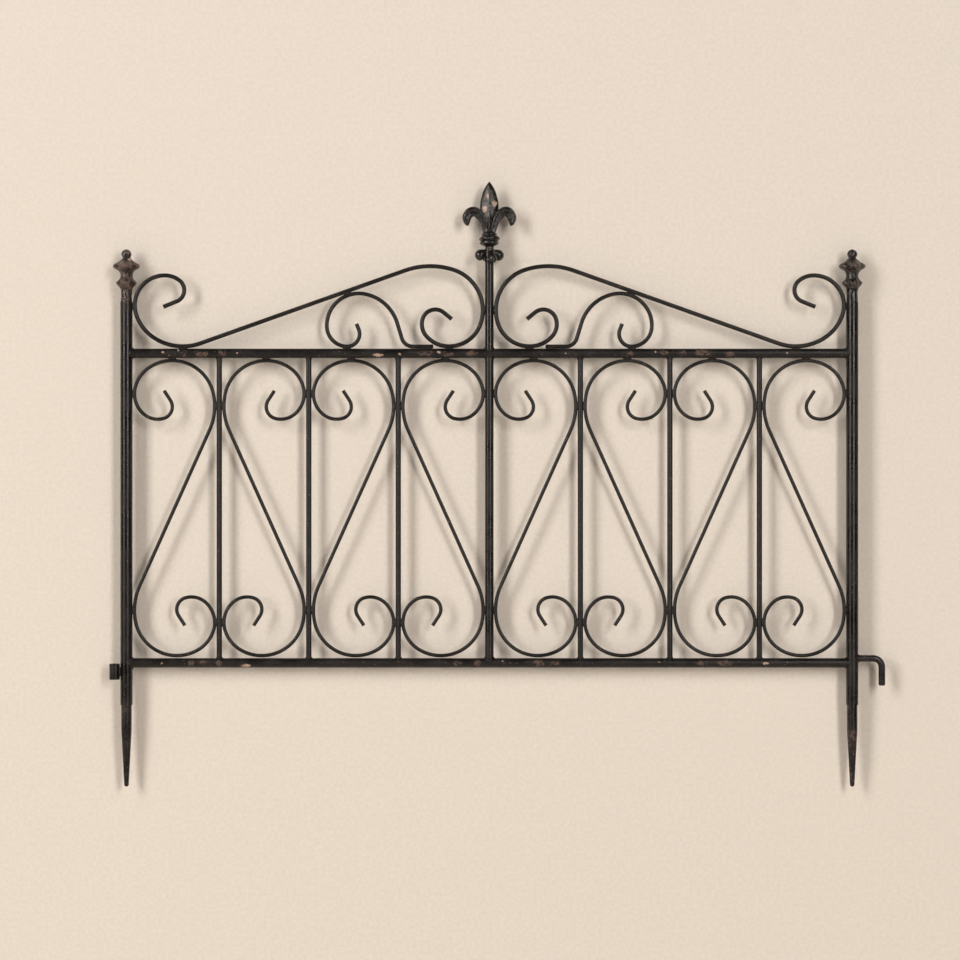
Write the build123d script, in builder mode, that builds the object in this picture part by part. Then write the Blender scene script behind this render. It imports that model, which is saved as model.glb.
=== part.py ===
from build123d import *
from math import asin, atan2, cos, degrees, hypot, radians, sin
import os

os.makedirs("parts", exist_ok=True)

# Garden border fence panel, standing upright, all lengths in mm.
# It is drawn about its own middle: X along the panel from the centre stake, Y through its
# thickness, Z up from the ground-spike tips.  Each finished piece is moved to the part's frame,
# whose origin is on the left-hand post's axis at the ground line, where its spike leaves the tube.

# Posts, the spikes in their feet and the rails between them
post_pitch = 762.0
post_dia = 12.7
post_bore = 10.3
post_foot_z = 86.0
post_top_z = 509.0
plug_dia = 10.2
spike_dia = 10.9
spike_plug = 30.0
finial_plug = 14.0
spike_straight = 26.0
spike_end_dia = 4.8
rail_dia = 10.0
low_rail_z = 130.0
high_rail_z = 455.0

# Upright bars
stake_dia = 9.0
stake_top_z = 561.0
baluster_dia = 5.7
baluster_gap = 1.0
cell_count = 8

# Bent wire
field_wire = 3.8
crest_wire = 4.5
foot_wire = 4.2
touch_gap = 0.1
rail_touch_gap = 0.7

# Field scroll: one half, from the slanted middle to the curled end.  Radii before they are
# fitted to the cell, and the direction of travel in degrees where each arc ends.
field_radii = [61.5, 43.9, 35.7, 28.0, 22.4, 12.6]
field_turns = [101.7, 210.6, 253.2, 319.4, 375.6, 483.0]
field_tail = 12.0

# Crest scroll: the curl beside the centre stake and the curl beside the post
stake_curl_radii = [79.0, 44.7, 34.7, 31.8, 19.1, 13.9]
stake_curl_turns = [198.0, 290.0, 367.6, 408.0, 467.7, 579.3]
stake_curl_tail = 11.0
stake_curl_height = 84.2
post_curl_radii = [55.7, 45.9, 31.4, 24.6, 12.8]
post_curl_turns = [392.5, 432.5, 542.5, 579.4, 698.0]
post_curl_tail = 15.0

# Small scroll that stands on the top rail under each crest scroll
foot_bend_radius = 12.0
foot_bend_heading = 107.0
foot_radii = [44.0, 33.5, 21.6, 13.2]
foot_turns = [170.7, 272.7, 357.3, 472.2]
foot_tail = 6.0
foot_end_x = 59.0

# Panel hook and the socket it drops into on the next panel
hook_dia = 7.0
hook_z = 134.7
hook_reach = 31.1
hook_bend = 9.1
hook_tip_z = 106.3
socket_dia = 10.9
socket_bore = 8.0
socket_low_z = 112.6
socket_high_z = 129.0
socket_offset = 12.5

# Weld beads
baluster_bead = 1.1
stake_bead = 1.6
rail_bead = 1.7
hook_bead = 1.2
weld_reach = 20.0
tack_radius = 1.7
tack_length = 9.0

# Sizes that follow from the ones above
post_x = post_pitch / 2
inner_face = post_x - post_dia / 2
cell_width = (2 * inner_face - stake_dia - (cell_count - 2) * baluster_dia) / cell_count
cell_mid_z = (low_rail_z + high_rail_z) / 2
clear_height = high_rail_z - low_rail_z - rail_dia
rail_top = high_rail_z + rail_dia / 2
first_bar = stake_dia / 2 + cell_width + baluster_dia / 2
bar_pitch = cell_width + baluster_dia
baluster_x = [side * (first_bar + i * bar_pitch) for side in (-1, 1) for i in range(3)]
cell_x = [side * (stake_dia / 2 + cell_width / 2 + i * bar_pitch) for side in (-1, 1) for i in range(4)]
baluster_x.sort()
cell_x.sort()


def finish(block, name):
    """Move a finished sub-part to the part's frame, name it and write its STEP file."""
    placed = block.part.moved(Location((post_pitch / 2, 0, -post_foot_z)))
    placed.label = name
    export_step(placed, "parts/" + name + ".step")


def chain(first_centre, radii, turns):
    """Centres of left-turning arcs that follow one another, each joining where its turn ends."""
    x, z = first_centre
    centres = [(x, z)]
    for i in range(len(radii) - 1):
        step = radii[i] - radii[i + 1]
        x += step * sin(radians(turns[i]))
        z -= step * cos(radians(turns[i]))
        centres.append((x, z))
    return centres


def on_arc(centre, radius, heading):
    """Point of a left-turning arc where the direction of travel is the given heading."""
    return centre[0] + radius * sin(radians(heading)), centre[1] - radius * cos(radians(heading))


def spot(origin, side, point):
    """Move a scroll point to its place, mirrored left to right when side is -1."""
    return origin[0] + side * point[0], origin[1] + point[1]


def draw_arc(origin, side, centre, radius, start, end):
    """Draw one left-turning arc between two headings, mirrored when side is -1."""
    angle = start - 90 if side > 0 else 270 - end
    CenterArc(spot(origin, side, centre), radius, angle, end - start)


def draw_curl(origin, side, first_centre, radii, turns, start, tail):
    """Draw a curled wire end: arcs of falling radius, then a short straight tail."""
    centres = chain(first_centre, radii, turns)
    heading = start
    for centre, radius, end in zip(centres, radii, turns):
        draw_arc(origin, side, centre, radius, heading, end)
        heading = end
    tip = on_arc(centres[-1], radii[-1], heading)
    end = (tip[0] + tail * cos(radians(heading)), tip[1] + tail * sin(radians(heading)))
    Line(spot(origin, side, tip), spot(origin, side, end))


def slant(centre_a, radius_a, centre_b, radius_b):
    """Heading of the straight that leaves circle A on its left-turning side and joins circle B."""
    dx = centre_b[0] - centre_a[0]
    dz = centre_b[1] - centre_a[1]
    return degrees(atan2(dz, dx) - asin((radius_a + radius_b) / hypot(dx, dz))) % 360


def sweep_wire(path, dia):
    """Sweep a round wire along the drawn line."""
    spine = path.wire()
    with BuildSketch(Plane(origin=spine @ 0, z_dir=spine % 0)) as section:
        Circle(dia / 2)
    sweep(section.sketch, path=spine)


def bar(dia, length, x=0.0, z=0.0, along=(0, 0, 1), mode=Mode.ADD):
    """Round bar that starts at (x, 0, z) and runs in the given direction."""
    with Locations(Plane(origin=(x, 0, z), z_dir=along)):
        Cylinder(dia / 2, length, align=(Align.CENTER, Align.CENTER, Align.MIN), mode=mode)


def tack(x, z, along=0.0, length=tack_length, radius=tack_radius):
    """Short round-ended weld tack in the XZ plane; along is its direction from upright in degrees."""
    with Locations(Location((x, 0, z), (0, along, 0))):
        Cylinder(radius, length - 2 * radius)
        with Locations((0, 0, length / 2 - radius), (0, 0, radius - length / 2)):
            Sphere(radius)


def rod(dia, length, x, z, along):
    """The same bar as a loose shape, for working out weld beads."""
    start = Plane(origin=(x, 0, z), z_dir=along)
    low = (Align.CENTER, Align.CENTER, Align.MIN)
    return start * Cylinder(dia / 2, length, align=low, mode=Mode.PRIVATE)


def bead(x, z, end_dia, end_along, through_dia, through_along, size):
    """Band of weld metal round the seam where one bar's end meets the side of another bar."""
    through_x = x - weld_reach * through_along[0]
    through_z = z - weld_reach * through_along[2]
    end_metal = rod(end_dia + 2 * size, weld_reach, x, z, end_along)
    through_metal = rod(through_dia + 2 * size, 2 * weld_reach, through_x, through_z, through_along)
    end_bar = rod(end_dia, weld_reach, x, z, end_along)
    through_bar = rod(through_dia, 2 * weld_reach, through_x, through_z, through_along)
    return (end_metal & through_metal) - end_bar - through_bar


# Where the field scroll's arcs lie inside its cell, seen from the middle of the cell
half_width = cell_width / 2 - field_wire / 2 - touch_gap
half_height = clear_height / 2 - field_wire / 2 - rail_touch_gap
plain = chain((0, 0), field_radii, field_turns)
field_scale = 2 * half_width / (field_radii[0] - plain[3][0] + field_radii[3])
field_arcs = [field_scale * radius for radius in field_radii]
plain = chain((0, 0), field_arcs, field_turns)
field_centre = (half_width - field_arcs[0], half_height - plain[1][1] - field_arcs[1])
field_centres = chain(field_centre, field_arcs, field_turns)
opposite = (-field_centre[0], -field_centre[1])
field_slant = slant(opposite, field_arcs[0], field_centre, field_arcs[0])

# Where the crest scroll's two curls lie, seen from the stake's axis at the top of the rail
plain = chain((0, 0), stake_curl_radii, stake_curl_turns)
crest_scale = stake_curl_height / (stake_curl_radii[0] - plain[2][1] + stake_curl_radii[2])
stake_arcs = [crest_scale * radius for radius in stake_curl_radii]
plain = chain((0, 0), stake_arcs, stake_curl_turns)
crest_lift = crest_wire / 2 + touch_gap
stake_curl = (
    stake_dia / 2 + crest_lift - plain[1][0] + stake_arcs[1],
    crest_lift - plain[2][1] + stake_arcs[2],
)
stake_centres = chain(stake_curl, stake_arcs, stake_curl_turns)
plain = chain((0, 0), post_curl_radii, post_curl_turns)
post_curl = (inner_face - crest_lift - plain[2][0] - post_curl_radii[2], crest_lift + post_curl_radii[0])
post_centres = chain(post_curl, post_curl_radii, post_curl_turns)
crest_slant = slant(post_curl, post_curl_radii[0], stake_curl, stake_arcs[0])
slant_high = on_arc(stake_curl, stake_arcs[0], crest_slant)
slant_low = on_arc(post_curl, post_curl_radii[0], crest_slant + 180)

# The small scroll under it: its curl stands on the rail and its crown touches the crest's slant.
# It is drawn for the left half, where it turns left, and mirrored for the right half.
foot_lift = foot_wire / 2 + touch_gap
rise = (sin(radians(foot_bend_heading)), cos(radians(foot_bend_heading)))
plain = chain((0, 0), foot_radii, foot_turns)
bend_height = foot_lift + foot_bend_radius * (1 + rise[1])
foot_straight = (foot_lift + foot_radii[3] - plain[3][1] - foot_radii[0] * rise[1] - bend_height) / rise[0]
crown_z = bend_height + foot_straight * rise[0] + foot_radii[0] * rise[1] + plain[1][1]
lean = radians(180 - crest_slant)
crown_reach = foot_radii[1] + foot_wire / 2 + crest_wire / 2 + touch_gap
crown_x = -slant_high[0] - (crown_reach - (slant_high[1] - crown_z) * cos(lean)) / -sin(lean)
foot_curl = (crown_x - plain[1][0], crown_z - plain[1][1])
foot_centres = chain(foot_curl, foot_radii, foot_turns)
bend_top = on_arc(foot_curl, foot_radii[0], foot_bend_heading)
bend_top = (bend_top[0] - foot_straight * rise[1], bend_top[1] - foot_straight * rise[0])
bend_x = bend_top[0] + foot_bend_radius * rise[0]


# Posts: round tube
for side, place in ((-1, "left"), (1, "right")):
    with BuildPart() as post:
        with BuildSketch(Plane.XY.offset(post_foot_z)):
            with Locations((side * post_x, 0)):
                Circle(post_dia / 2)
                Circle(post_bore / 2, mode=Mode.SUBTRACT)
        extrude(amount=post_top_z - post_foot_z)
    finish(post, "post_" + place)

# Ground spikes: solid bar plugged into the foot of each post, tapered to a rounded tip
taper_z = post_foot_z - spike_straight
for side, place in ((-1, "left"), (1, "right")):
    x = side * post_x
    with BuildPart() as spike:
        with BuildSketch(Plane.XZ):
            with BuildLine():
                Polyline(
                    (x, 0),
                    (x, post_foot_z + spike_plug),
                    (x + plug_dia / 2, post_foot_z + spike_plug),
                    (x + plug_dia / 2, post_foot_z),
                    (x + spike_dia / 2, post_foot_z),
                    (x + spike_dia / 2, taper_z),
                    (x + spike_end_dia / 2, spike_end_dia / 2),
                )
                CenterArc((x, spike_end_dia / 2), spike_end_dia / 2, 270, 90)
            make_face()
        revolve(axis=Axis((x, 0, 0), (0, 0, 1)))
    finish(spike, "spike_" + place)

# Rails: solid round bar, ends hollowed to sit against the round posts
for rail_z, place in ((high_rail_z, "top"), (low_rail_z, "bottom")):
    with BuildPart() as rail:
        bar(rail_dia, post_pitch, -post_x, rail_z, (1, 0, 0))
        bar(post_dia, 3 * rail_dia, -post_x, rail_z - 1.5 * rail_dia, mode=Mode.SUBTRACT)
        bar(post_dia, 3 * rail_dia, post_x, rail_z - 1.5 * rail_dia, mode=Mode.SUBTRACT)
    finish(rail, place + "_rail")

# Centre stake: one length between the rails, a second one standing on the top rail
with BuildPart() as stake_lower:
    bar(stake_dia, high_rail_z - low_rail_z, 0, low_rail_z)
    bar(rail_dia, 4 * rail_dia, -2 * rail_dia, low_rail_z, (1, 0, 0), mode=Mode.SUBTRACT)
    bar(rail_dia, 4 * rail_dia, -2 * rail_dia, high_rail_z, (1, 0, 0), mode=Mode.SUBTRACT)
finish(stake_lower, "centre_stake_lower")

with BuildPart() as stake_upper:
    bar(stake_dia, stake_top_z - high_rail_z, 0, high_rail_z)
    bar(rail_dia, 4 * rail_dia, -2 * rail_dia, high_rail_z, (1, 0, 0), mode=Mode.SUBTRACT)
finish(stake_upper, "centre_stake_upper")

# Balusters: their lower ends stand on the bottom rail, their upper ends stop just short of the top rail
for number, x in enumerate(baluster_x, 1):
    with BuildPart() as baluster:
        bar(baluster_dia, high_rail_z - rail_dia / 2 - baluster_gap - low_rail_z, x, low_rail_z)
        bar(rail_dia, 2 * rail_dia, x - rail_dia, low_rail_z, (1, 0, 0), mode=Mode.SUBTRACT)
    finish(baluster, f"baluster_{number}")

# Field scrolls: one S of wire per cell, every second one a mirror image
for number, x in enumerate(cell_x, 1):
    side = 1 if number % 2 else -1
    middle = (x, cell_mid_z)
    turned = [heading + 180 for heading in field_turns]
    with BuildPart() as scroll:
        with BuildLine(Plane.XZ) as path:
            draw_curl(middle, side, opposite, field_arcs, turned, field_slant + 180, field_tail)
            Line(spot(middle, side, on_arc(opposite, field_arcs[0], field_slant + 180)),
                 spot(middle, side, on_arc(field_centre, field_arcs[0], field_slant)))
            draw_curl(middle, side, field_centre, field_arcs, field_turns, field_slant, field_tail)
        sweep_wire(path, field_wire)
    finish(scroll, f"field_scroll_{number}")

# Crest scrolls: one S of heavier wire on each side of the stake, from the post down onto the rail,
# up along the slant and round to the stake
for side, place in ((-1, "left"), (1, "right")):
    middle = (0, rail_top)
    with BuildPart() as crest:
        with BuildLine(Plane.XZ) as path:
            draw_curl(middle, side, post_curl, post_curl_radii, post_curl_turns,
                      crest_slant + 180, post_curl_tail)
            Line(spot(middle, side, slant_low), spot(middle, side, slant_high))
            draw_curl(middle, side, stake_curl, stake_arcs, stake_curl_turns,
                      crest_slant, stake_curl_tail)
        sweep_wire(path, crest_wire)
    finish(crest, "crest_scroll_" + place)

# Small scrolls: a foot along the rail, a tight bend up, then a curl that comes back to the rail
for side, place in ((1, "left"), (-1, "right")):
    middle = (0, rail_top)
    bend_centre = (bend_x, foot_lift + foot_bend_radius)
    with BuildPart() as foot:
        with BuildLine(Plane.XZ) as path:
            Line(spot(middle, side, (-foot_end_x, foot_lift)), spot(middle, side, (bend_x, foot_lift)))
            bend_turn = 180 - foot_bend_heading
            bend_angle = 270 - bend_turn if side > 0 else 270
            CenterArc(spot(middle, side, bend_centre), foot_bend_radius, bend_angle, bend_turn)
            Line(spot(middle, side, bend_top),
                 spot(middle, side, on_arc(foot_curl, foot_radii[0], foot_bend_heading)))
            draw_curl(middle, side, foot_curl, foot_radii, foot_turns, foot_bend_heading, foot_tail)
        sweep_wire(path, foot_wire)
    finish(foot, "foot_scroll_" + place)

# Post finials: one casting each, ball on a bell with a lobed skirt and a smaller lobed ring,
# and a plug that fits inside the post
plug_z = post_top_z - finial_plug
skirt_z = post_top_z + 37.5
ring_z = post_top_z + 20.0
ball_z = post_top_z + 50.0
ball_dia = 10.4
ball_neck = ((ball_dia / 2) ** 2 - 4.0 ** 2) ** 0.5
neck_angle = degrees(atan2(ball_neck, 4.0))
for side, place in ((-1, "left"), (1, "right")):
    x = side * post_x
    with BuildPart() as finial:
        with BuildSketch(Plane.XZ):
            with BuildLine():
                Line((x, plug_z), (x + plug_dia / 2, plug_z))
                Line((x + plug_dia / 2, plug_z), (x + plug_dia / 2, post_top_z))
                Line((x + plug_dia / 2, post_top_z), (x + 5.9, post_top_z))
                Line((x + 5.9, post_top_z), (x + 5.9, post_top_z + 13))
                Line((x + 5.9, post_top_z + 13), (x + 8.6, ring_z - 1.5))
                Line((x + 8.6, ring_z - 1.5), (x + 8.6, ring_z + 1.5))
                ThreePointArc((x + 8.6, ring_z + 1.5), (x + 6.7, ring_z + 6), (x + 6.2, skirt_z - 8.5))
                ThreePointArc((x + 6.2, skirt_z - 8.5), (x + 7.4, skirt_z - 4.2), (x + 10.4, skirt_z - 1.6))
                Line((x + 10.4, skirt_z - 1.6), (x + 10.4, skirt_z + 1.6))
                ThreePointArc((x + 10.4, skirt_z + 1.6), (x + 6.3, skirt_z + 4.4), (x + 4.5, skirt_z + 8.4))
                Line((x + 4.5, skirt_z + 8.4), (x + 4.0, ball_z - ball_neck))
                CenterArc((x, ball_z), ball_dia / 2, -neck_angle, 90 + neck_angle)
                Line((x, ball_z + ball_dia / 2), (x, plug_z))
            make_face()
        revolve(axis=Axis((x, 0, 0), (0, 0, 1)))
        with BuildSketch(Plane.XY.offset(skirt_z - 1.6)):
            with Locations((x, 0)):
                with PolarLocations(7.4, 4):
                    Circle(6.8)
        extrude(amount=3.2)
        with BuildSketch(Plane.XY.offset(ring_z - 1.5)):
            with Locations((x, 0)):
                with PolarLocations(5.5, 4):
                    Circle(5.2)
        extrude(amount=3.0)
    finish(finial, "post_finial_" + place)

# Fleur-de-lis: one casting with a ridged spear, two curling side leaves, a banded collar and a base
# of four balls, bored to sit over the stake's end
fleur_top = 635.0
collar_z = 574.5
base_z = 557.5
fleur_foot_z = 550.5
with BuildPart() as fleur:
    spear = [(0.0, 1.6, 1.2), (9.0, 9.4, 5.0), (24.0, 19.5, 8.4), (40.0, 13.2, 8.6), (54.0, 8.6, 8.6)]
    for drop, wide, thick in spear:
        with BuildSketch(Plane.XY.offset(fleur_top - drop)):
            Polygon((wide / 2, 0), (0, thick / 2), (-wide / 2, 0), (0, -thick / 2))
    loft()
    for side in (-1, 1):
        with BuildSketch(Plane.XZ.offset(-3.6)):
            with BuildLine():
                Line((side * 3.5, 582), (side * 6.8, 582))
                ThreePointArc((side * 6.8, 582), (side * 8.6, 592), (side * 13.4, 598.2))
                ThreePointArc((side * 13.4, 598.2), (side * 16.4, 596.6), (side * 18.2, 593.0))
                Line((side * 18.2, 593.0), (side * 22.6, 587.2))
                ThreePointArc((side * 22.6, 587.2), (side * 28.15, 597.5), (side * 20.5, 608.2))
                ThreePointArc((side * 20.5, 608.2), (side * 13.0, 608.6), (side * 6.6, 601.4))
                Line((side * 6.6, 601.4), (side * 3.5, 594))
                Line((side * 3.5, 594), (side * 3.5, 582))
            make_face()
        extrude(amount=7.2)
    with BuildSketch(Plane.XZ):
        with BuildLine():
            Polyline((0, 584), (6.0, 584), (8.9, 581.6), (8.9, 579.4), (9.4, 578.6))
            ThreePointArc((9.4, 578.6), (11.2, 576.4), (9.4, 574.2))
            Polyline((9.4, 574.2), (9.9, 573.0), (9.9, 569.4), (8.6, 567.9), (5.4, 567.4))
            Polyline((5.4, 567.4), (5.4, fleur_foot_z), (0, fleur_foot_z), (0, 584))
        make_face()
    revolve(axis=Axis.Z)
    with Locations((0, 0, base_z)):
        with PolarLocations(10.3, 4, start_angle=-70):
            Sphere(5.4)
    bar(stake_dia + 0.2, stake_top_z - fleur_foot_z, 0, fleur_foot_z, mode=Mode.SUBTRACT)
finish(fleur, "fleur_de_lis")

# Hook: round bar from the right-hand post, bent down
with BuildPart() as hook:
    with BuildLine(Plane.XZ) as path:
        Line((post_x, hook_z), (post_x + hook_reach - hook_bend, hook_z))
        CenterArc((post_x + hook_reach - hook_bend, hook_z - hook_bend), hook_bend, 0, 90)
        Line((post_x + hook_reach, hook_z - hook_bend), (post_x + hook_reach, hook_tip_z))
    sweep_wire(path, hook_dia)
    chamfer(hook.edges().group_by(Axis.Z)[0], 0.8)
    bar(post_dia, 30, post_x, hook_z - 15, mode=Mode.SUBTRACT)
finish(hook, "panel_hook")

# Socket: short tube beside the left-hand post, for the next panel's hook
with BuildPart() as socket:
    with BuildSketch(Plane.XY.offset(socket_low_z)):
        with Locations((-post_x - socket_offset, 0)):
            Circle(socket_dia / 2)
            Circle(socket_bore / 2, mode=Mode.SUBTRACT)
    extrude(amount=socket_high_z - socket_low_z)
finish(socket, "hook_socket")

# Weld beads where the rails meet the posts
with BuildPart() as rail_welds:
    for side in (-1, 1):
        for rail_z in (low_rail_z, high_rail_z):
            add(bead(side * post_x, rail_z, rail_dia, (-side, 0, 0), post_dia, (0, 0, 1), rail_bead))
finish(rail_welds, "rail_welds")

# Weld beads where the centre stake stands on, or hangs from, a rail
with BuildPart() as stake_welds:
    for rail_z, up in ((low_rail_z, 1), (high_rail_z, -1), (high_rail_z, 1)):
        add(bead(0, rail_z, stake_dia, (0, 0, up), rail_dia, (1, 0, 0), stake_bead))
finish(stake_welds, "stake_welds")

# Weld beads at both ends of every baluster; the upper one also fills the short gap
with BuildPart() as baluster_welds:
    for x in baluster_x:
        for rail_z, up in ((low_rail_z, 1), (high_rail_z, -1)):
            add(bead(x, rail_z, baluster_dia, (0, 0, up), rail_dia, (1, 0, 0), baluster_bead))
        with Locations((x, 0, high_rail_z - rail_dia / 2)):
            Cylinder(baluster_dia / 2, 2 * baluster_gap)
        bar(rail_dia, 2 * rail_dia, x - rail_dia, high_rail_z, (1, 0, 0), mode=Mode.SUBTRACT)
finish(baluster_welds, "baluster_welds")

# Tacks that hold the field scrolls to the uprights and to the top rail.  Weld metal melts into
# both bars, so a tack runs a little way into each.
with BuildPart() as field_tacks:
    for number, x in enumerate(cell_x, 1):
        side = 1 if number % 2 else -1
        shoulder = cell_width / 2 - touch_gap / 2
        for end in (-1, 1):
            tack(x + end * side * shoulder, cell_mid_z + end * field_centre[1])
            tack(x - end * side * shoulder, cell_mid_z + end * field_centres[3][1])
        tack(x + side * field_centres[1][0], high_rail_z - rail_dia / 2 - rail_touch_gap / 2, 90)
finish(field_tacks, "field_scroll_tacks")

# Tacks that hold the crest scrolls and the small scrolls to the posts, the stake, the top rail
# and one another
with BuildPart() as crest_tacks:
    for side in (-1, 1):
        tack(side * (inner_face - touch_gap / 2), rail_top + post_centres[2][1] - 1.5, 0, 7.0)
        tack(side * (stake_dia + touch_gap) / 2, rail_top + stake_centres[1][1])
        tack(side * post_curl[0], rail_top + touch_gap / 2, 90)
        tack(side * stake_centres[2][0], rail_top + touch_gap / 2, 90)
        tack(side * foot_centres[3][0], rail_top + touch_gap / 2, 90)
        tack(side * -(foot_end_x + 6), rail_top + touch_gap / 2, 90)
        reach = foot_radii[1] + foot_wire / 2
        touch = (crown_x - reach * sin(lean), crown_z + reach * cos(lean))
        tack(-side * touch[0], rail_top + touch[1], 90 + side * degrees(lean))
finish(crest_tacks, "crest_scroll_tacks")

# Welds that hold the hook and the socket to their posts
with BuildPart() as hook_weld:
    add(bead(post_x, hook_z, hook_dia, (1, 0, 0), post_dia, (0, 0, 1), hook_bead))
finish(hook_weld, "hook_weld")

with BuildPart() as socket_weld:
    joint_x = -post_x - (socket_offset + post_dia / 2 - socket_dia / 2) / 2
    tack(joint_x, (socket_low_z + socket_high_z) / 2, 0, 10.0, 2.8)
    bar(post_dia, 40, -post_x, socket_low_z - 10, mode=Mode.SUBTRACT)
    bar(socket_dia, 40, -post_x - socket_offset, socket_low_z - 10, mode=Mode.SUBTRACT)
finish(socket_weld, "socket_weld")
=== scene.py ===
from math import radians
import bpy
import numpy as np
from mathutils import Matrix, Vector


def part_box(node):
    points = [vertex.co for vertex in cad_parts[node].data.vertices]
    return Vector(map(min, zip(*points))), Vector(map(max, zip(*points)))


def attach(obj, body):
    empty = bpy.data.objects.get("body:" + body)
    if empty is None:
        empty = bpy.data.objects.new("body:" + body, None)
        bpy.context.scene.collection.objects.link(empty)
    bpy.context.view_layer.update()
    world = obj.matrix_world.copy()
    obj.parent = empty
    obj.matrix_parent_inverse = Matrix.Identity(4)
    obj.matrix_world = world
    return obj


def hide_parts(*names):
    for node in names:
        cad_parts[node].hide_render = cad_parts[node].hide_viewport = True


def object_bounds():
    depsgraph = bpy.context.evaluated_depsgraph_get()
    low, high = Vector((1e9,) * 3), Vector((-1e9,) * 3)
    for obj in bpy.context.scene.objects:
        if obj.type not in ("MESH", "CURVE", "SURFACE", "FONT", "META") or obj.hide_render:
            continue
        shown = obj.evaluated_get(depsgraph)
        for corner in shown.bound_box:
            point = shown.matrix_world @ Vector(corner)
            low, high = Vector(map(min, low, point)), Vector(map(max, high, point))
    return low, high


# Looks of the garden border fence panel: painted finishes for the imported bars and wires, and new
# castings and welds in place of the plain ones.  Lengths are in metres unless a line says mm.
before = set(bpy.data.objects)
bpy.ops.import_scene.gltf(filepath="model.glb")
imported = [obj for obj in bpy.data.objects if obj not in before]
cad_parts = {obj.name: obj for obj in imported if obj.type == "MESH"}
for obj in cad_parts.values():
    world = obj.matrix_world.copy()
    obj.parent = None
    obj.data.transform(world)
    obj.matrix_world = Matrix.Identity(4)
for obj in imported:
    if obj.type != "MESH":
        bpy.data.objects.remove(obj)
cad_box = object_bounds()

MM = 0.001
TURN = 2 * np.pi
FULL_TURN = np.linspace(0, TURN, 49)[:-1]

PLAIN_STEEL = ["post_left", "post_right", "centre_stake_lower", "centre_stake_upper", "panel_hook",
               "hook_socket"]
SPIKES = ["spike_left", "spike_right"]
BALUSTERS = [f"baluster_{n}" for n in range(1, 7)]
FIELD_SCROLLS = [f"field_scroll_{n}" for n in range(1, 9)]
CREST_SCROLLS = ["crest_scroll_left", "crest_scroll_right", "foot_scroll_left", "foot_scroll_right"]


def middle(node):
    """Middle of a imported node's box."""
    low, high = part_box(node)
    return (np.array(low) + np.array(high)) / 2


def top_of(node):
    """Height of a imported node's highest point."""
    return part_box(node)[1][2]


def width(node, axis):
    """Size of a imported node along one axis."""
    low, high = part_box(node)
    return high[axis] - low[axis]


post_radius = width("post_left", 1) / 2
stake_radius = width("centre_stake_lower", 1) / 2
rail_radius = width("bottom_rail", 1) / 2
baluster_radius = width("baluster_1", 1) / 2
hook_radius = width("panel_hook", 1) / 2
left_x = middle("post_left")[0]
right_x = middle("post_right")[0]
stake_x = middle("centre_stake_lower")[0]
low_rail_z = middle("bottom_rail")[2]
high_rail_z = middle("top_rail")[2]
hook_z = top_of("panel_hook") - hook_radius


# ---------------------------------------------------------------- surfaces

def smooth_line(knots, steps=6):
    """Rows that pass smoothly through the knots: a cubic between each two knots, whose slope at a
    knot is half the step from the knot before to the knot after (Catmull-Rom)."""
    knots = np.asarray(knots, float)
    held = np.vstack([2 * knots[0] - knots[1], knots, 2 * knots[-1] - knots[-2]])
    t = np.linspace(0, 1, steps, endpoint=False)[None, :, None]
    a, b, c, d = (held[i:len(held) - 3 + i, None, :] for i in range(4))
    square = a - 2.5 * b + 2 * c - d / 2
    cube = 1.5 * (b - c) + (d - a) / 2
    curve = b + t * (c - a) / 2 + t**2 * square + t**3 * cube
    return np.vstack([curve.reshape(-1, knots.shape[1]), knots[-1:]])


def ripple(a, b, seed, strength):
    """Cast or welded unevenness over two parameters: five sine waves of rising number and falling
    height, with directions and starts drawn from the seed.  It closes after a full turn of b."""
    draw = np.random.default_rng(seed)
    total = 0
    for wave in range(1, 6):
        pull = draw.uniform(1.5, 4.0) * wave
        around = int(draw.integers(1, 3 + wave))
        total = total + np.sin(pull * a + around * b + draw.uniform(0, TURN)) / wave
    return strength * total / 2


def skin_faces(rings, steps):
    """Quads between the rings of one skin, and a fan that closes each end ring to its middle.  The
    two middles come after the grid's own points."""
    i, j = np.meshgrid(np.arange(rings - 1), np.arange(steps), indexing="ij")
    here = i * steps + j
    beside = i * steps + (j + 1) % steps
    walls = np.stack([here, beside, beside + steps, here + steps], axis=-1).reshape(-1, 4)
    rim = np.arange(steps)
    after = (rim + 1) % steps
    last = (rings - 1) * steps
    middles = rings * steps
    start = np.stack([after, rim, np.full(steps, middles)], axis=-1)
    end = np.stack([last + rim, last + after, np.full(steps, middles + 1)], axis=-1)
    return walls, np.vstack([start, end])


def enclosed(points, walls, fans):
    """Signed volume inside one closed skin: a sixth of the triple products of its triangles."""
    triangles = np.vstack([walls[:, [0, 1, 2]], walls[:, [0, 2, 3]], fans])
    a, b, c = (points[triangles[:, k]] for k in range(3))
    return np.einsum("ij,ij->i", a, np.cross(b, c)).sum() / 6


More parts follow.
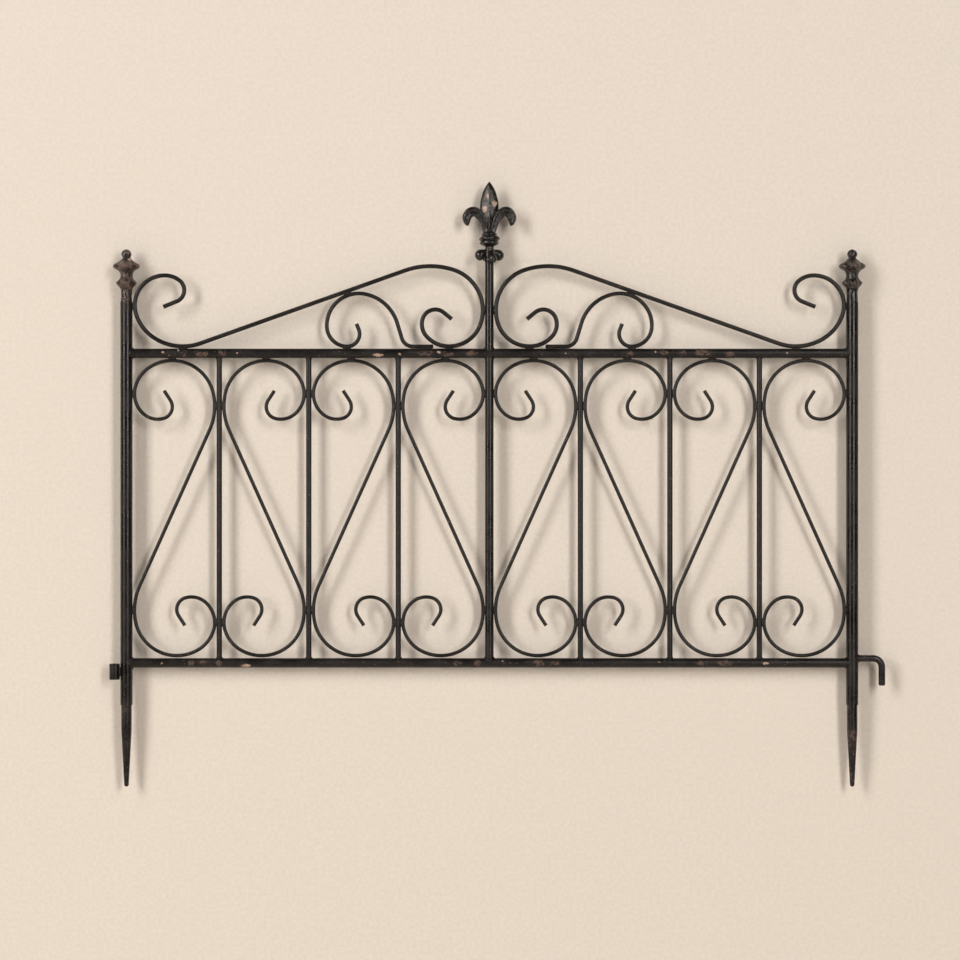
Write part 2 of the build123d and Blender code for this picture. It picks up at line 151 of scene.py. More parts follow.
def build(name, skins, wear=None):
    """One piece from several closed skins.  A skin is a grid: point (i, j) is step j round ring i.
    A skin that encloses a negative volume is turned, so every face points outwards.  Wear, from 0
    to 1 at each grid point, is stored on the mesh as bare_metal."""
    points, faces, bare = [], [], []
    first = 0
    for number, skin in enumerate(skins):
        rings, steps = skin.shape[:2]
        grid = np.vstack([skin.reshape(-1, 3), skin[0].mean(axis=0), skin[-1].mean(axis=0)])
        walls, fans = skin_faces(rings, steps)
        if enclosed(grid, walls, fans) < 0:
            walls, fans = walls[:, ::-1], fans[:, ::-1]
        points.append(grid)
        faces += (walls + first).tolist() + (fans + first).tolist()
        worn = np.zeros((rings, steps)) if wear is None else wear[number]
        bare.append(np.concatenate([worn.ravel(), [worn[0].mean(), worn[-1].mean()]]))
        first += len(grid)
    mesh = bpy.data.meshes.new(name)
    mesh.from_pydata(np.vstack(points).tolist(), [], faces)
    layer = mesh.attributes.new("bare_metal", "FLOAT", "POINT")
    layer.data.foreach_set("value", np.concatenate(bare).astype(np.float32))
    mesh.shade_smooth()
    piece = bpy.data.objects.new(name, mesh)
    bpy.context.collection.objects.link(piece)
    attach(piece, "root")
    return piece


# ---------------------------------------------------------------- castings

# Greatest radius of a finial in mm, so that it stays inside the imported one
WIDEST_PETAL = 14.2


def post_finial(name, node, post, seed, turned):
    """Ball finial: a lathe shape whose radius swings between a petal and a valley figure four times
    round, by (half of 1 + cos 4(angle))^0.7, so that petals are broad.  Valleys hang a little lower
    than petals, and a ball closes the top.  The knots are height, petal and valley radius, in mm."""
    knots = [
        (-3, 5.0, 5.0), (0.2, 5.9, 5.9), (6, 5.8, 5.9), (12, 5.9, 5.9), (14.5, 6.9, 6.6),
        (16.8, 9.0, 7.5), (18.7, 10.4, 8.2), (20.2, 10.7, 8.4), (21.5, 9.8, 8.0), (24, 7.5, 6.9),
        (27.5, 6.4, 6.3), (30.5, 6.8, 6.6), (33, 9.0, 7.8), (34.6, 12.0, 9.3), (36.0, 13.8, 10.5),
        (37.6, 14.15, 11.0), (39.2, 13.3, 10.6), (40.4, 11.3, 9.6), (42.2, 8.2, 7.8), (44.2, 5.9, 5.9),
        (45.8, 4.5, 4.5), (46.7, 4.0, 4.0),
    ]
    rows = smooth_line(knots, 4)
    tilt = np.linspace(-0.69, np.pi / 2 - 0.03, 20)
    ball = np.stack([50 + 5.2 * np.sin(tilt), 5.2 * np.cos(tilt), 5.2 * np.cos(tilt)], axis=1)
    rows = np.vstack([rows, ball[1:]])
    height, petal, valley = (rows[:, k, None] for k in range(3))
    angle = FULL_TURN[None, :]
    swing = (0.5 + 0.5 * np.cos(4 * (angle - turned))) ** 0.7
    uneven = ripple(height / 5, angle, seed, 0.34) * np.clip(height / 14, 0, 1)
    radius = np.minimum(valley + (petal - valley) * swing + uneven, WIDEST_PETAL)
    drop = (petal - valley) * 0.42 * (1 - swing)
    base = np.array([middle(node)[0], middle(node)[1], top_of(post)])
    skin = np.stack([radius * np.cos(angle), radius * np.sin(angle), height - drop + 0 * angle], axis=-1)
    proud = np.clip((radius - valley) / 3.2, 0, 1) + np.clip(ripple(height / 5, angle, seed + 7, 0.6), 0, 1)
    piece = build(name, [base + skin * MM], [np.clip(proud, 0, 1)])
    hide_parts(node)
    return piece


def fleur_spear():
    """Spear of the fleur: rings of a soft diamond, |x/w|^1.35 + |y/d|^1.35 = 1, with half width w
    and half depth d swelling and narrowing down from the tip, and a sharper ridge up its front
    and back.  The knots are the drop from the tip, w and d, in mm."""
    knots = [(0, 0.5, 0.5), (3.5, 3.0, 1.7), (8, 5.6, 3.0), (13, 7.5, 3.8), (20, 9.2, 4.3),
             (26.5, 9.8, 4.6), (32, 9.2, 4.7), (39, 7.2, 4.7), (46, 4.6, 4.6), (55, 3.5, 4.4)]
    drop, wide, deep = (column[:, None] for column in smooth_line(knots, 5).T)
    angle = FULL_TURN[None, :]
    power = 2 / 1.35
    across = np.sign(np.cos(angle)) * np.abs(np.cos(angle)) ** power
    through = np.sign(np.sin(angle)) * np.abs(np.sin(angle)) ** power
    ridge = 0.55 * np.exp(-(across * wide / 0.9) ** 2) * np.clip(drop / 12, 0, 1)
    rough = ripple(drop / 8, angle, 31, 0.16) * np.clip(drop / 10, 0, 1)
    x = across * (wide + rough)
    y = through * (deep + rough) + np.sign(through) * ridge
    worn = np.clip(np.abs(ridge) * 1.2 + ripple(drop / 5, angle, 33, 0.5), 0, 1) + 0 * angle
    return np.stack([x, y, -drop + 0 * angle], axis=-1), worn


def fleur_leaf(side, seed):
    """Side leaf: a flat-sided band carried along a path that climbs beside the spear, bends over and
    curls back down.  Across the band a shallow groove is pressed in both faces, deepest in the
    middle, and the band narrows to a blunt tip.  The knots are x, drop, half width and half depth,
    in mm."""
    knots = [(3.0, 56.0, 2.6, 3.2), (4.6, 48.5, 3.3, 3.8), (6.9, 41.4, 4.0, 4.1), (10.4, 35.1, 4.6, 4.3),
             (15.4, 31.3, 5.1, 4.3), (20.0, 32.1, 5.3, 4.3), (22.9, 35.6, 5.0, 4.2),
             (23.8, 39.6, 4.3, 3.9), (23.4, 43.0, 3.1, 3.2), (22.9, 45.2, 1.7, 2.0), (22.7, 46.1, 0.5, 0.8)]
    x, drop, wide, deep = (column[:, None] for column in smooth_line(knots, 7).T)
    angle = FULL_TURN[None, :]
    run = np.gradient(np.hstack([x, -drop]), axis=0)
    run /= np.linalg.norm(run, axis=1, keepdims=True)
    out = np.stack([-run[:, 1], run[:, 0]], axis=1)
    step = np.arange(len(x))[:, None]
    across = np.sign(np.cos(angle)) * np.abs(np.cos(angle)) ** 0.85
    fading = np.clip(step / 8, 0, 1) * np.clip((len(x) - step) / 9, 0, 1)
    groove = 1 - 0.5 * np.exp(-(across / 0.36) ** 2) * fading
    through = np.sign(np.sin(angle)) * np.abs(np.sin(angle)) ** 0.75 * groove
    rough = ripple(step / 9, angle, seed, 0.2)
    u = across * (wide + rough)
    outward = side * (x + out[:, :1] * u)
    skin = np.stack([outward, through * (deep + rough), -drop + out[:, 1:] * u], axis=-1)
    worn = np.clip(0.5 * np.abs(across) ** 6 + ripple(step / 6, angle, seed + 3, 0.5), 0, 1)
    return skin, worn


def fleur_collar():
    """Collar and neck: a lathe shape of three uneven bands over a waist, with a slight slope to the
    bands so that they look hand-worked.  The knots are the drop from the tip and radius, in mm."""
    knots = [(52, 3.2), (53.4, 5.8), (54.4, 7.6), (55.6, 8.1), (56.8, 7.6), (57.6, 9.4), (59.4, 11.1),
             (61.2, 10.7), (62.2, 9.0), (63.2, 9.8), (64.8, 9.9), (66.2, 8.2), (67.4, 5.6), (69, 4.5),
             (71, 4.9), (75, 5.8), (80, 5.6), (83.5, 5.4), (84.4, 4.7)]
    drop, radius = (column[:, None] for column in smooth_line(knots, 4).T)
    angle = FULL_TURN[None, :]
    banded = np.exp(-((drop - 58.5) / 6) ** 2)
    sag = 0.9 * np.sin(angle + 2.4) * banded
    swell = radius + ripple(drop / 6, angle, 41, 0.3) * np.clip((84 - drop) / 6, 0, 1) - 0.3 * banded
    skin = np.stack([swell * np.cos(angle), swell * np.sin(angle) * 0.98, -drop + sag], axis=-1)
    worn = np.clip(ripple(drop / 3, angle, 43, 0.55), 0, 1)
    return skin, worn


def fleur_knob(angle_deg, lower, radius, seed):
    """Base knob: a cup that leaves the neck, runs outwards and swells to a ball.  Its upright rings
    are carried outwards along a line that dips; a ring's radius blends from the arm's to the
    ball's, the square root of radius squared - (distance from the ball's middle) squared."""
    turn = np.linspace(0.0, 1.0, 30)[:, None]
    centre = np.array([10.0, 76.8 + lower])
    reach = 2.0 + (centre[0] + radius - 2.0) * turn
    closing = np.clip((reach - centre[0]) / radius, -1, 1)
    ball = radius * np.sqrt(np.clip(1 - closing ** 2, 0, 1))
    neck = 3.0 + 0.16 * reach
    blend = np.clip((reach - 5.6) / 4.0, 0, 1)
    blend = blend * blend * (3 - 2 * blend)
    size = np.where(reach < centre[0], neck * (1 - blend) + ball * blend, ball)
    reach = np.minimum(reach, centre[0] + radius)
    drop = 72.5 + (centre[1] - 72.5) * np.clip(reach / 9.5, 0, 1) ** 1.4
    ring = FULL_TURN[None, ::2]
    size = np.maximum(size + ripple(reach / 5, ring, seed, 0.14) * (size > 1.5), 0.05)
    side = size * np.cos(ring)
    up = size * np.sin(ring)
    way = radians(angle_deg)
    x = reach * np.cos(way) - side * np.sin(way)
    y = reach * np.sin(way) + side * np.cos(way)
    worn = np.clip(ripple(reach / 3, ring, seed + 5, 0.5), 0, 1)
    return np.stack([x, y, up - drop], axis=-1), worn


def fleur_de_lis():
    """The crowning casting: spear, two leaves, collar and four base knobs, all from its tip down."""
    tip = np.array([stake_x, middle("centre_stake_upper")[1], top_of("fleur_de_lis")])
    parts = [fleur_spear(), fleur_leaf(1, 51), fleur_leaf(-1, 57), fleur_collar()]
    parts += [fleur_knob(20, 0, 6.0, 61), fleur_knob(200, 0.4, 5.9, 62)]
    parts += [fleur_knob(-70, 4.4, 4.7, 63), fleur_knob(110, 1.0, 5.0, 64)]
    skins = [tip + skin * MM for skin, _ in parts]
    piece = build("fleur_de_lis_casting", skins, [worn for _, worn in parts])
    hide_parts("fleur_de_lis")
    return piece


# ---------------------------------------------------------------- welds

# Radius of the beads on the rails' ends and on the centre stake
THICK_BEAD = 1.15 * MM


def seam_bead(place, end_radius, out, through_radius, size, seed):
    """Weld bead round the seam of a bar that stands on another.  The seam's height above the through
    bar's axis is the square root of (through radius squared - depth squared).  A ring of varying
    radius is carried round it, and its first place is also its last; out is the way the standing
    bar points, in the XZ plane."""
    turn = np.linspace(0, TURN, 41)[:-1][:, None]
    ring = FULL_TURN[None, ::3]
    lump = size * (1 + 0.16 * np.sin(5 * turn + seed) + 0.12 * np.sin(9 * turn + 2 * seed))
    away = end_radius + 0.15 * MM + lump * np.cos(ring) * 0.8
    depth = away * np.sin(turn)
    along = away * np.cos(turn)
    seam = np.sqrt(np.maximum(through_radius ** 2 - (end_radius * np.sin(turn)) ** 2, 0))
    height = seam + 0.2 * MM + lump * np.sin(ring)
    out = np.array([out[0], 0.0, out[1]])
    beside = np.array([out[2], 0.0, -out[0]])
    grid = along[..., None] * beside + height[..., None] * out
    grid[..., 1] += depth
    grid = np.asarray(place) + grid
    return np.concatenate([grid, grid[:1]])


def lumps(node):
    """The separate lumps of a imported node: each corner takes the lowest number of the triangles that
    it shares, until every lump has one number."""
    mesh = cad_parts[node].data
    place = np.empty(3 * len(mesh.vertices))
    mesh.vertices.foreach_get("co", place)
    corner = np.empty(len(mesh.loops), dtype=int)
    mesh.loops.foreach_get("vertex_index", corner)
    places, same = np.unique(np.round(place.reshape(-1, 3), 6), axis=0, return_inverse=True)
    triangle = same.ravel()[corner].reshape(-1, 3)
    number = np.arange(len(places))
    for _ in range(80):
        lowest = number[triangle].min(axis=1)
        np.minimum.at(number, triangle, np.repeat(lowest[:, None], 3, axis=1))
    return [places[number == one] for one in np.unique(number)]


def tack_skin(points, seed):
    """Weld tack: a rippled spindle along a lump's longest direction.  Its radius follows the square
    root of 1 - (distance from the middle)^4, and is a little wider from front to back."""
    centre = (points.min(axis=0) + points.max(axis=0)) / 2
    spread = points - centre
    axis = np.linalg.svd(spread[:, [0, 2]], full_matrices=False)[2][0]
    axis = np.array([axis[0], 0, axis[1]])
    half = np.abs(spread @ axis).max()
    side = np.array([axis[2], 0, -axis[0]])
    girth = np.abs(spread @ side).max()
    t = np.linspace(-1, 1, 17)[:, None]
    ring = FULL_TURN[None, ::3]
    radius = girth * (1 - np.abs(t) ** 4) ** 0.5 * (0.97 + ripple(2.5 * t, ring, seed, 0.16))
    radius = np.maximum(radius, 0.04 * MM)
    grid = (t * half * 0.98)[..., None] * axis + (radius * np.cos(ring))[..., None] * side
    grid[..., 1] += radius * np.sin(ring) * 1.08
    return centre + grid


def weld_piece(name, node, skins):
    """One piece for all the beads or tacks of a node."""
    piece = build(name, skins)
    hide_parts(node)
    return piece


def rail_beads():
    """Beads where the two rails meet the two posts."""
    skins = []
    for x, way in ((left_x, 1), (right_x, -1)):
        for z in (low_rail_z, high_rail_z):
            seed = x * 9 + z * 40
            skins.append(seam_bead((x, 0, z), rail_radius, (way, 0), post_radius, THICK_BEAD, seed))
    return weld_piece("rail_weld_beads", "rail_welds", skins)


def stake_beads():
    """Beads where the centre stake stands on, or hangs from, a rail."""
    skins = []
    for z, way in ((low_rail_z, 1), (high_rail_z, -1), (high_rail_z, 1)):
        seed = z * 30 + way
        skins.append(seam_bead((stake_x, 0, z), stake_radius, (0, way), rail_radius, THICK_BEAD, seed))
    return weld_piece("stake_weld_beads", "stake_welds", skins)


def baluster_beads():
    """Beads at both ends of every baluster, with a plug of weld metal in the gap at the top."""
    skins = []
    plugs = []
    for number, node in enumerate(BALUSTERS):
        x = middle(node)[0]
        for z, way, size, seed in ((low_rail_z, 1, 0.85, number), (high_rail_z, -1, 0.8, number + 9)):
            skins.append(seam_bead((x, 0, z), baluster_radius, (0, way), rail_radius, size * MM, seed))
        plugs.append(plug_skin(x, top_of(node), high_rail_z - rail_radius, number))
    return weld_piece("baluster_weld_beads", "baluster_welds", skins + plugs)


def plug_skin(x, low, high, seed):
    """Weld metal between a baluster's end and the rail: a short drum with rippled sides."""
    z = np.linspace(low - 0.1 * MM, high + 0.6 * MM, 7)[:, None]
    ring = FULL_TURN[None, ::3]
    radius = baluster_radius * (0.94 + ripple(z / MM, ring, seed, 0.05))
    return np.stack([x + radius * np.cos(ring), radius * np.sin(ring), z + 0 * ring], axis=-1)


def hook_bead():
    """Bead where the panel hook leaves the right-hand post."""
    bead = seam_bead((right_x, 0, hook_z), hook_radius, (1, 0), post_radius, 0.85 * MM, 3)
    return weld_piece("hook_weld_bead", "hook_weld", [bead])


def socket_bead():
    """Beads in the slot between the socket tube and the left-hand post, one on the front and one on
    the back: upright spindles whose radius follows the square root of 1 - (distance)^4."""
    low, high = (np.array(corner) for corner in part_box("socket_weld"))
    x = (low[0] + high[0]) / 2
    t = np.linspace(-1, 1, 25)[:, None]
    ring = FULL_TURN[None, ::3]
    skins = []
    for face in (-1, 1):
        lumpy = 1 + ripple(4 * t, ring, 70 + face, 0.2)
        radius = np.maximum(1.7 * MM * (1 - t ** 4) ** 0.5 * lumpy, 0.03 * MM)
        z = (low[2] + high[2]) / 2 + t * (high[2] - low[2]) / 2 * 0.97
        y = face * (high[1] - 1.75 * MM) + radius * np.sin(ring)
        skins.append(np.stack([x + radius * np.cos(ring), y, z + 0 * ring], axis=-1))
    return weld_piece("socket_weld_bead", "socket_weld", skins)


def tacks(name, node):
    """Tacks that hold scrolls to the bars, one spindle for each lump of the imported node."""
    return weld_piece(name, node, [tack_skin(points, 80 + n) for n, points in enumerate(lumps(node))])


finials = [
    post_finial("ball_finial_left", "post_finial_left", "post_left", 11, 0.0),
    post_finial("ball_finial_right", "post_finial_right", "post_right", 23, 0.12),
]
fleur = fleur_de_lis()
welds = [rail_beads(), stake_beads(), baluster_beads(), hook_bead(), socket_bead(),
         tacks("field_tacks", "field_scroll_tacks"), tacks("crest_tacks", "crest_scroll_tacks")]


# ---------------------------------------------------------------- finishes

class Finish:
    """A node material under construction.  Each call adds one node and wires it up; its inputs are
    given as numbers, colours or the outputs of earlier nodes."""

    def __init__(self, name):
        self.material = bpy.data.materials.new(name)
        self.material.use_nodes = True
        self.tree = self.material.node_tree
        self.shader = self.tree.nodes["Principled BSDF"]
        self.place = self.node("ShaderNodeTexCoord").outputs["Object"]

    def node(self, kind, inputs=None, **settings):
        made = self.tree.nodes.new(kind)
        for key, value in settings.items():
            setattr(made, key, value)
        for key, value in (inputs or {}).items():
            self.feed(made.inputs[key], value)
        return made

    def feed(self, socket, value):
        if isinstance(value, bpy.types.NodeSocket):
            self.tree.links.new(value, socket)
        else:
            socket.default_value = value

    def noise(self, scale, detail=3.0, roughness=0.55):
        inputs = {"Vector": self.place, "Scale": scale, "Detail": detail, "Roughness": roughness}
        return self.node("ShaderNodeTexNoise", inputs).outputs["Fac"]

    def band(self, value, low, high, to_low=0.0, to_high=1.0):
        """A smooth step: to_low below low, to_high above high."""
        inputs = {"Value": value, "From Min": low, "From Max": high, "To Min": to_low, "To Max": to_high}
        step = self.node("ShaderNodeMapRange", inputs, interpolation_type="SMOOTHSTEP")
        return step.outputs["Result"]

    def maths(self, operation, a, b):
        return self.node("ShaderNodeMath", {0: a, 1: b}, operation=operation).outputs["Value"]

    def plus(self, a, b):
        return self.maths("ADD", a, b)

    def times(self, a, b):
        return self.maths("MULTIPLY", a, b)

    def most(self, a, b):
        return self.maths("MAXIMUM", a, b)

    def blend(self, share, below, above):
        """Colour that goes from below to above as the share goes from 0 to 1."""
        mix = self.node("ShaderNodeMix", data_type="RGBA")
        self.feed(mix.inputs["Factor"], share)
        self.feed(mix.inputs["A"], below)
        self.feed(mix.inputs["B"], above)
        return mix.outputs["Result"]

    def attribute(self, name):
        return self.node("ShaderNodeAttribute", attribute_name=name).outputs["Fac"]

    def relief(self, height, strength, distance, under=None):
        inputs = {"Height": height, "Strength": strength, "Distance": distance}
        if under is not None:
            inputs["Normal"] = under
        return self.node("ShaderNodeBump", inputs).outputs["Normal"]

    def done(self, colour, rough, relief, gloss):
        """The finished material, with its colour, roughness and relief wired to the shader."""
        self.feed(self.shader.inputs["Base Color"], colour)
        self.feed(self.shader.inputs["Roughness"], rough)
        self.feed(self.shader.inputs["Normal"], relief)
        self.shader.inputs["Specular IOR Level"].default_value = gloss
        return self.material


# Two blacks, the primers under them and the dust on them; then how strongly each surface shines
BLACK_PAINT = (0.0046, 0.0036, 0.0032, 1)
DULL_PAINT = (0.0115, 0.0086, 0.0074, 1)
BROWN_PRIMER = (0.120, 0.074, 0.058, 1)
PALE_PRIMER = (0.46, 0.31, 0.245, 1)
DUST = (0.50, 0.41, 0.34, 1)
GLOSS = 0.42
CAST_GLOSS = 0.6


def scuff_spots(finish, spots):
    """Share of the surface rubbed at the given places: each spot is 1 in its middle and falls to 0
    just past its edge, on the front only.  A spot is x, z, half length and half height, in mm."""
    total = 0.0
    for x, z, long, tall in spots:
        shape = (1 / (long * MM), 0.6 / (tall * MM), 1 / (tall * MM))
        centre = (x * MM * shape[0], -rail_radius * 0.8 * shape[1], z * MM * shape[2])
        scaled = finish.node("ShaderNodeVectorMath", {0: finish.place, 1: shape}, operation="MULTIPLY")
        apart = finish.node("ShaderNodeVectorMath", {0: scaled.outputs["Vector"], 1: centre},
                            operation="DISTANCE")
        spot = finish.band(apart.outputs["Value"], 1.25, 0.35)
        total = finish.most(total, spot)
    return total


def painted_steel(name, dullness=0.3, scuffed=0.0, spots=(), chips=(), grain=1.0):
    """Brushed-on black paint over bar: satin patches of two blacks, brown primer where it is rubbed,
    pale primer in the chips, specks of dust, and a fine uneven skin.  Noise tears the edges of rubs
    and chips."""
    finish = Finish(name)
    cloud = finish.noise(38 * grain, 4)
    fine = finish.noise(520, 4, 0.7)
    ragged = finish.noise(270, 5, 0.75)
    colour = finish.blend(finish.band(cloud, 0.42, 0.68), BLACK_PAINT, DULL_PAINT)
    patchy = finish.plus(ragged, finish.times(cloud, 0.5))
    rubbed = finish.band(patchy, 0.97 - 0.16 * scuffed, 1.07 - 0.12 * scuffed)
    if spots:
        torn = finish.band(ragged, 0.40, 0.60, -0.75, 0.5)
        near = finish.plus(scuff_spots(finish, spots), torn)
        rubbed = finish.most(rubbed, finish.band(near, 0.52, 0.75))
    rubbed = finish.times(rubbed, 0.85)
    colour = finish.blend(rubbed, colour, BROWN_PRIMER)
    bare = 0.0
    if chips:
        torn = finish.band(ragged, 0.36, 0.60, -0.5, 0.45)
        near = finish.plus(scuff_spots(finish, chips), torn)
        bare = finish.band(near, 0.47, 0.62)
        colour = finish.blend(bare, colour, PALE_PRIMER)
    colour = finish.blend(finish.band(finish.noise(900, 2), 0.70, 0.76), colour, DUST)
    rough = finish.band(cloud, 0.3, 0.7, dullness - 0.1, dullness + 0.1)
    rough = finish.most(rough, finish.times(rubbed, 0.8))
    skin = finish.relief(fine, 0.45, 0.0003)
    dents = finish.relief(finish.noise(95 * grain, 3), 0.35, 0.0006, skin)
    edge = finish.relief(finish.most(rubbed, bare), -0.4, 0.0002, dents)
    return finish.done(colour, rough, edge, GLOSS)


def painted_casting(name, brown, chips=()):
    """Paint over rough casting: black in the hollows, worn towards brown where the mesh says that it
    stands proud, with pale chips, pits and the lumps of a sand mould."""
    finish = Finish(name)
    pits = finish.noise(640, 5, 0.75)
    lumps_of_sand = finish.noise(230, 3, 0.6)
    cloud = finish.noise(110, 3)
    colour = finish.blend(finish.band(cloud, 0.4, 0.7), BLACK_PAINT, DULL_PAINT)
    proud = finish.times(finish.attribute("bare_metal"), 0.22)
    worn = finish.plus(proud, finish.noise(330, 5, 0.75))
    rubbed = finish.band(worn, 0.66 - 0.22 * brown, 0.82 - 0.2 * brown)
    colour = finish.blend(finish.times(rubbed, 0.55 + 0.35 * brown), colour, BROWN_PRIMER)
    if chips:
        torn = finish.band(finish.noise(380, 5, 0.8), 0.38, 0.60, -0.55, 0.4)
        near = finish.plus(scuff_spots(finish, chips), torn)
        colour = finish.blend(finish.band(near, 0.42, 0.62), colour, PALE_PRIMER)
    colour = finish.blend(finish.band(finish.noise(850, 2), 0.69, 0.75), colour, DUST)
    rough = finish.band(cloud, 0.3, 0.75, 0.12, 0.26)
    rough = finish.most(rough, finish.times(rubbed, 0.42))
    skin = finish.relief(pits, 0.55, 0.0004)
    lumpy = finish.relief(lumps_of_sand, 0.7, 0.0012, skin)
    return finish.done(colour, rough, lumpy, CAST_GLOSS)


def painted_weld(name):
    """Painted weld metal: glossy lumps, scale in the hollows and a brown bloom."""
    finish = Finish(name)
    lump = finish.noise(600, 3, 0.6)
    bloom = finish.noise(170, 3)
    colour = finish.blend(finish.band(bloom, 0.45, 0.7), BLACK_PAINT, DULL_PAINT)
    colour = finish.blend(finish.times(finish.band(lump, 0.58, 0.75), 0.5), colour, BROWN_PRIMER)
    rough = finish.band(bloom, 0.3, 0.7, 0.28, 0.5)
    return finish.done(colour, rough, finish.relief(lump, 0.7, 0.0007), GLOSS)


def coat(piece, material):
    """Give the whole piece one finish."""
    piece.data.materials.clear()
    piece.data.materials.append(material)


# Places along the rails where the paint is rubbed or chipped, in mm: x, z, half length, half height
top = high_rail_z / MM
low = low_rail_z / MM
top_rubs = [(61, top, 4, 3.5), (79, top - 1, 8, 3.5), (102, top, 7, 3.2), (315, top, 10, 3.4),
            (337, top - 1, 7, 3.2), (362, top, 7, 3), (529, top, 4, 3), (564, top + 1, 5, 3),
            (583, top, 5, 3.4), (605, top, 10, 3.8), (632, top - 1, 6, 3)]
top_chips = [(39, top + 1, 1.6, 1.5), (46, top - 2, 1.8, 1.2), (55, top + 3, 1.4, 1.3),
             (117, top, 1.2, 1.2), (264, top - 2.5, 6, 2.2), (287, top - 1, 1.6, 1.4),
             (328, top + 1, 2.0, 1.6), (461, top, 1.2, 1.2), (555, top + 1, 1.2, 1.2),
             (693, top, 1.5, 1.3)]
low_rubs = [(68, low, 4, 3.2), (81, low, 4, 3), (98, low, 4, 3.4), (347, low, 5, 3), (369, low, 5, 3),
            (433, low, 6, 4), (449, low, 5, 3.2), (605, low, 7, 3.2), (627, low, 9, 3.4)]
low_chips = [(38, low, 1.3, 1.2), (126, low - 2.5, 6, 1.8), (395, low + 2, 1.0, 1.0), (403, low, 1.0, 0.9),
             (559, low + 1, 2.2, 0.7), (670, low, 4, 2.0)]
fleur_tip = top_of("fleur_de_lis") / MM
fleur_x = stake_x / MM
fleur_chips = [(fleur_x + 5.4, fleur_tip - 23.5, 3.4, 4.2), (fleur_x - 5.2, fleur_tip - 29, 3.4, 3.6),
               (fleur_x - 1.5, fleur_tip - 15, 1.7, 2.8)]
tube_end = top_of("post_left") / MM
finial_chips = [(left_x / MM + 3.4, tube_end + 44.0, 2.0, 1.6)]

plain_paint = painted_steel("satin_black_bar")
wire_paint = painted_steel("satin_black_wire", dullness=0.4, scuffed=0.6, grain=1.4)
spike_paint = painted_steel("worn_black_spike", dullness=0.32, scuffed=1.15)
finishes = {node: plain_paint for node in PLAIN_STEEL}
finishes.update({node: spike_paint for node in SPIKES})
finishes.update({node: wire_paint for node in BALUSTERS + FIELD_SCROLLS + CREST_SCROLLS})
finishes["top_rail"] = painted_steel("scuffed_top_rail", 0.4, 0.2, top_rubs, top_chips)
finishes["bottom_rail"] = painted_steel("scuffed_bottom_rail", 0.4, 0.2, low_rubs, low_chips)
for node, material in finishes.items():
    coat(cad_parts[node], material)

coat(finials[0], painted_casting("worn_left_finial", 0.85, finial_chips))
coat(finials[1], painted_casting("worn_right_finial", 0.35))
coat(fleur, painted_casting("worn_fleur", 0.3, fleur_chips))
weld_paint = painted_weld("painted_weld_metal")
for piece in welds:
    coat(piece, weld_paint)


# ---------------------------------------------------------------- stage

SHEET_SHADE = (0.785, 0.728, 0.660, 1)
SHEET_LIGHT = (0.835, 0.778, 0.708, 1)
ROOM_GLOW = (0.95, 0.89, 0.82, 1)
FAR_WALL = (0.80, 0.71, 0.61, 1)
LAMP_COLOUR = (1.0, 0.94, 0.88)
PANEL_MIDDLE = (stake_x, 0, 0.24)


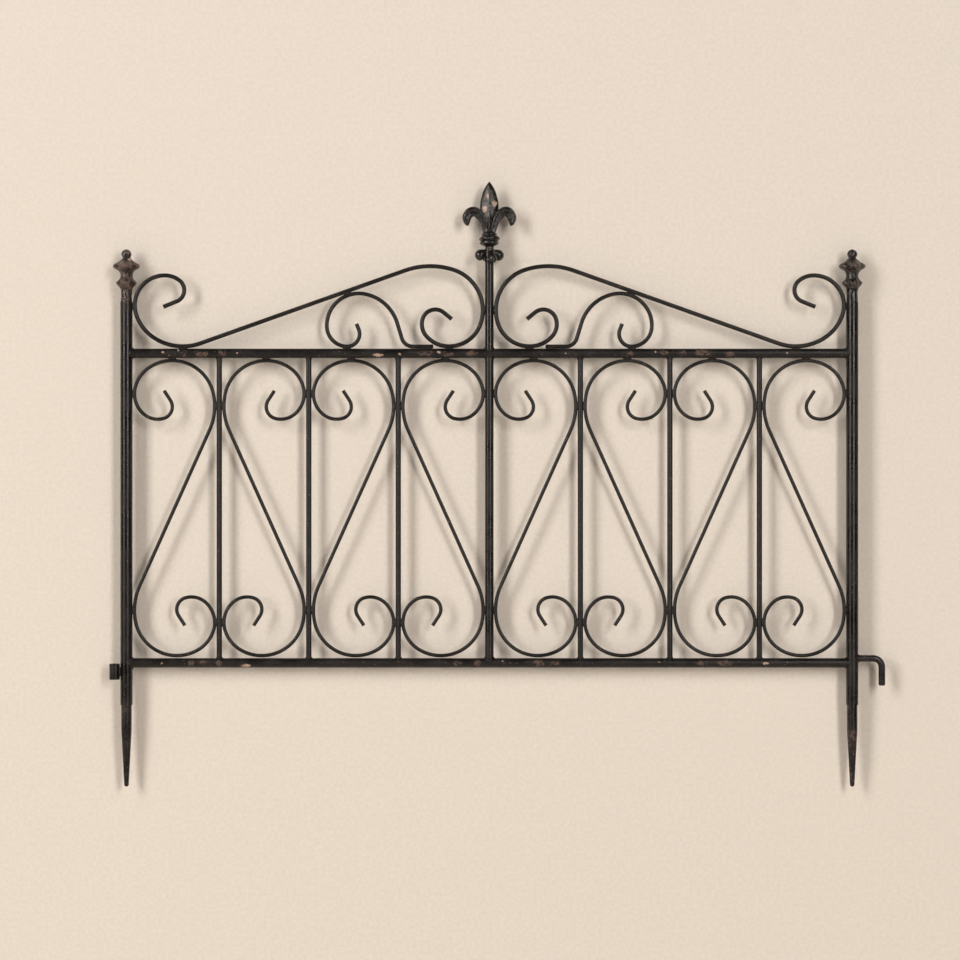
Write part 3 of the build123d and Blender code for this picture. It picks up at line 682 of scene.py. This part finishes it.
def backdrop():
    """Pale sheet that hangs just behind the panel and sweeps forward into a floor: straight down,
    a quarter circle, then level.  It is clear from behind, so the back can be seen."""
    behind = cad_box[1][1] + 0.5 * MM
    fall = -0.30
    bend = 0.30
    floor_length = 3.0
    turn = np.linspace(0, np.pi / 2, 25)
    y = np.concatenate([[behind, behind], behind - bend * (1 - np.cos(turn)), [behind - floor_length]])
    z = np.concatenate([[1.5, 0.5], fall - bend * np.sin(turn), [fall - bend]])
    x = np.array([-2.2, 3.0])
    grid = np.stack(np.broadcast_arrays(x[None, :], y[:, None], z[:, None]), axis=-1).reshape(-1, 3)
    rows = np.arange(len(y) - 1) * 2
    quads = np.stack([rows, rows + 2, rows + 3, rows + 1], axis=1)
    mesh = bpy.data.meshes.new("pale_sheet")
    mesh.from_pydata(grid.tolist(), [], quads.tolist())
    mesh.shade_smooth()
    sheet = bpy.data.objects.new("pale_sheet", mesh)
    bpy.context.collection.objects.link(sheet)
    finish = Finish("pale_sheet_cloth")
    weave = finish.noise(260, 3, 0.6)
    colour = finish.blend(finish.band(weave, 0.3, 0.7), SHEET_SHADE, SHEET_LIGHT)
    finish.feed(finish.shader.inputs["Base Color"], colour)
    finish.shader.inputs["Roughness"].default_value = 0.95
    finish.shader.inputs["Specular IOR Level"].default_value = 0.1
    clear = finish.node("ShaderNodeBsdfTransparent")
    facing = finish.node("ShaderNodeNewGeometry").outputs["Backfacing"]
    sides = {0: facing, 1: finish.shader.outputs["BSDF"], 2: clear.outputs["BSDF"]}
    both = finish.node("ShaderNodeMixShader", sides)
    finish.feed(finish.tree.nodes["Material Output"].inputs["Surface"], both.outputs["Shader"])
    coat(sheet, finish.material)


def soft_light(name, place, size, power):
    """Oblong soft light, given its width and height, that points at the middle of the panel: tilted
    by the angle between straight down and the way to it, then turned to face it."""
    lamp = bpy.data.lights.new(name, "AREA")
    lamp.shape = "RECTANGLE"
    lamp.size, lamp.size_y = size
    lamp.energy = power
    lamp.color = LAMP_COLOUR
    light = bpy.data.objects.new(name, lamp)
    bpy.context.collection.objects.link(light)
    light.location = place
    way = np.array(PANEL_MIDDLE) - np.array(place)
    tilt = np.arctan2(np.hypot(way[0], way[1]), -way[2])
    light.rotation_euler = (tilt, 0, np.arctan2(way[1], way[0]) - np.pi / 2)


def camera():
    """Level camera straight in front of the panel."""
    lens = bpy.data.cameras.new("front_camera")
    lens.lens = 90
    lens.sensor_width = 36
    view = bpy.data.objects.new("front_camera", lens)
    bpy.context.collection.objects.link(view)
    view.location = (0.3712, -2.52, 0.236)
    view.rotation_euler = (radians(90), 0, 0)
    bpy.context.scene.camera = view


def pale_room():
    """World that barely lights the panel, but looks pale behind it."""
    world = bpy.data.worlds.new("pale_room")
    world.use_nodes = True
    nodes = world.node_tree.nodes
    join = world.node_tree.links.new
    glow = nodes["Background"]
    glow.inputs["Color"].default_value = ROOM_GLOW
    glow.inputs["Strength"].default_value = 0.03
    wall = nodes.new("ShaderNodeBackground")
    wall.inputs["Color"].default_value = FAR_WALL
    either = nodes.new("ShaderNodeMixShader")
    join(nodes.new("ShaderNodeLightPath").outputs["Is Camera Ray"], either.inputs[0])
    join(glow.outputs[0], either.inputs[1])
    join(wall.outputs[0], either.inputs[2])
    join(either.outputs[0], nodes["World Output"].inputs["Surface"])
    bpy.context.scene.world = world


backdrop()
soft_light("window_left", (stake_x - 2.9, -2.9, 1.6), (1.1, 3.0), 112)
soft_light("window_right", (stake_x + 2.0, -3.7, 1.4), (0.85, 2.8), 91)
soft_light("back_fill", (stake_x, 2.4, 1.6), (1.6, 1.6), 20)
pale_room()
bpy.context.scene.view_settings.view_transform = "Standard"
camera()
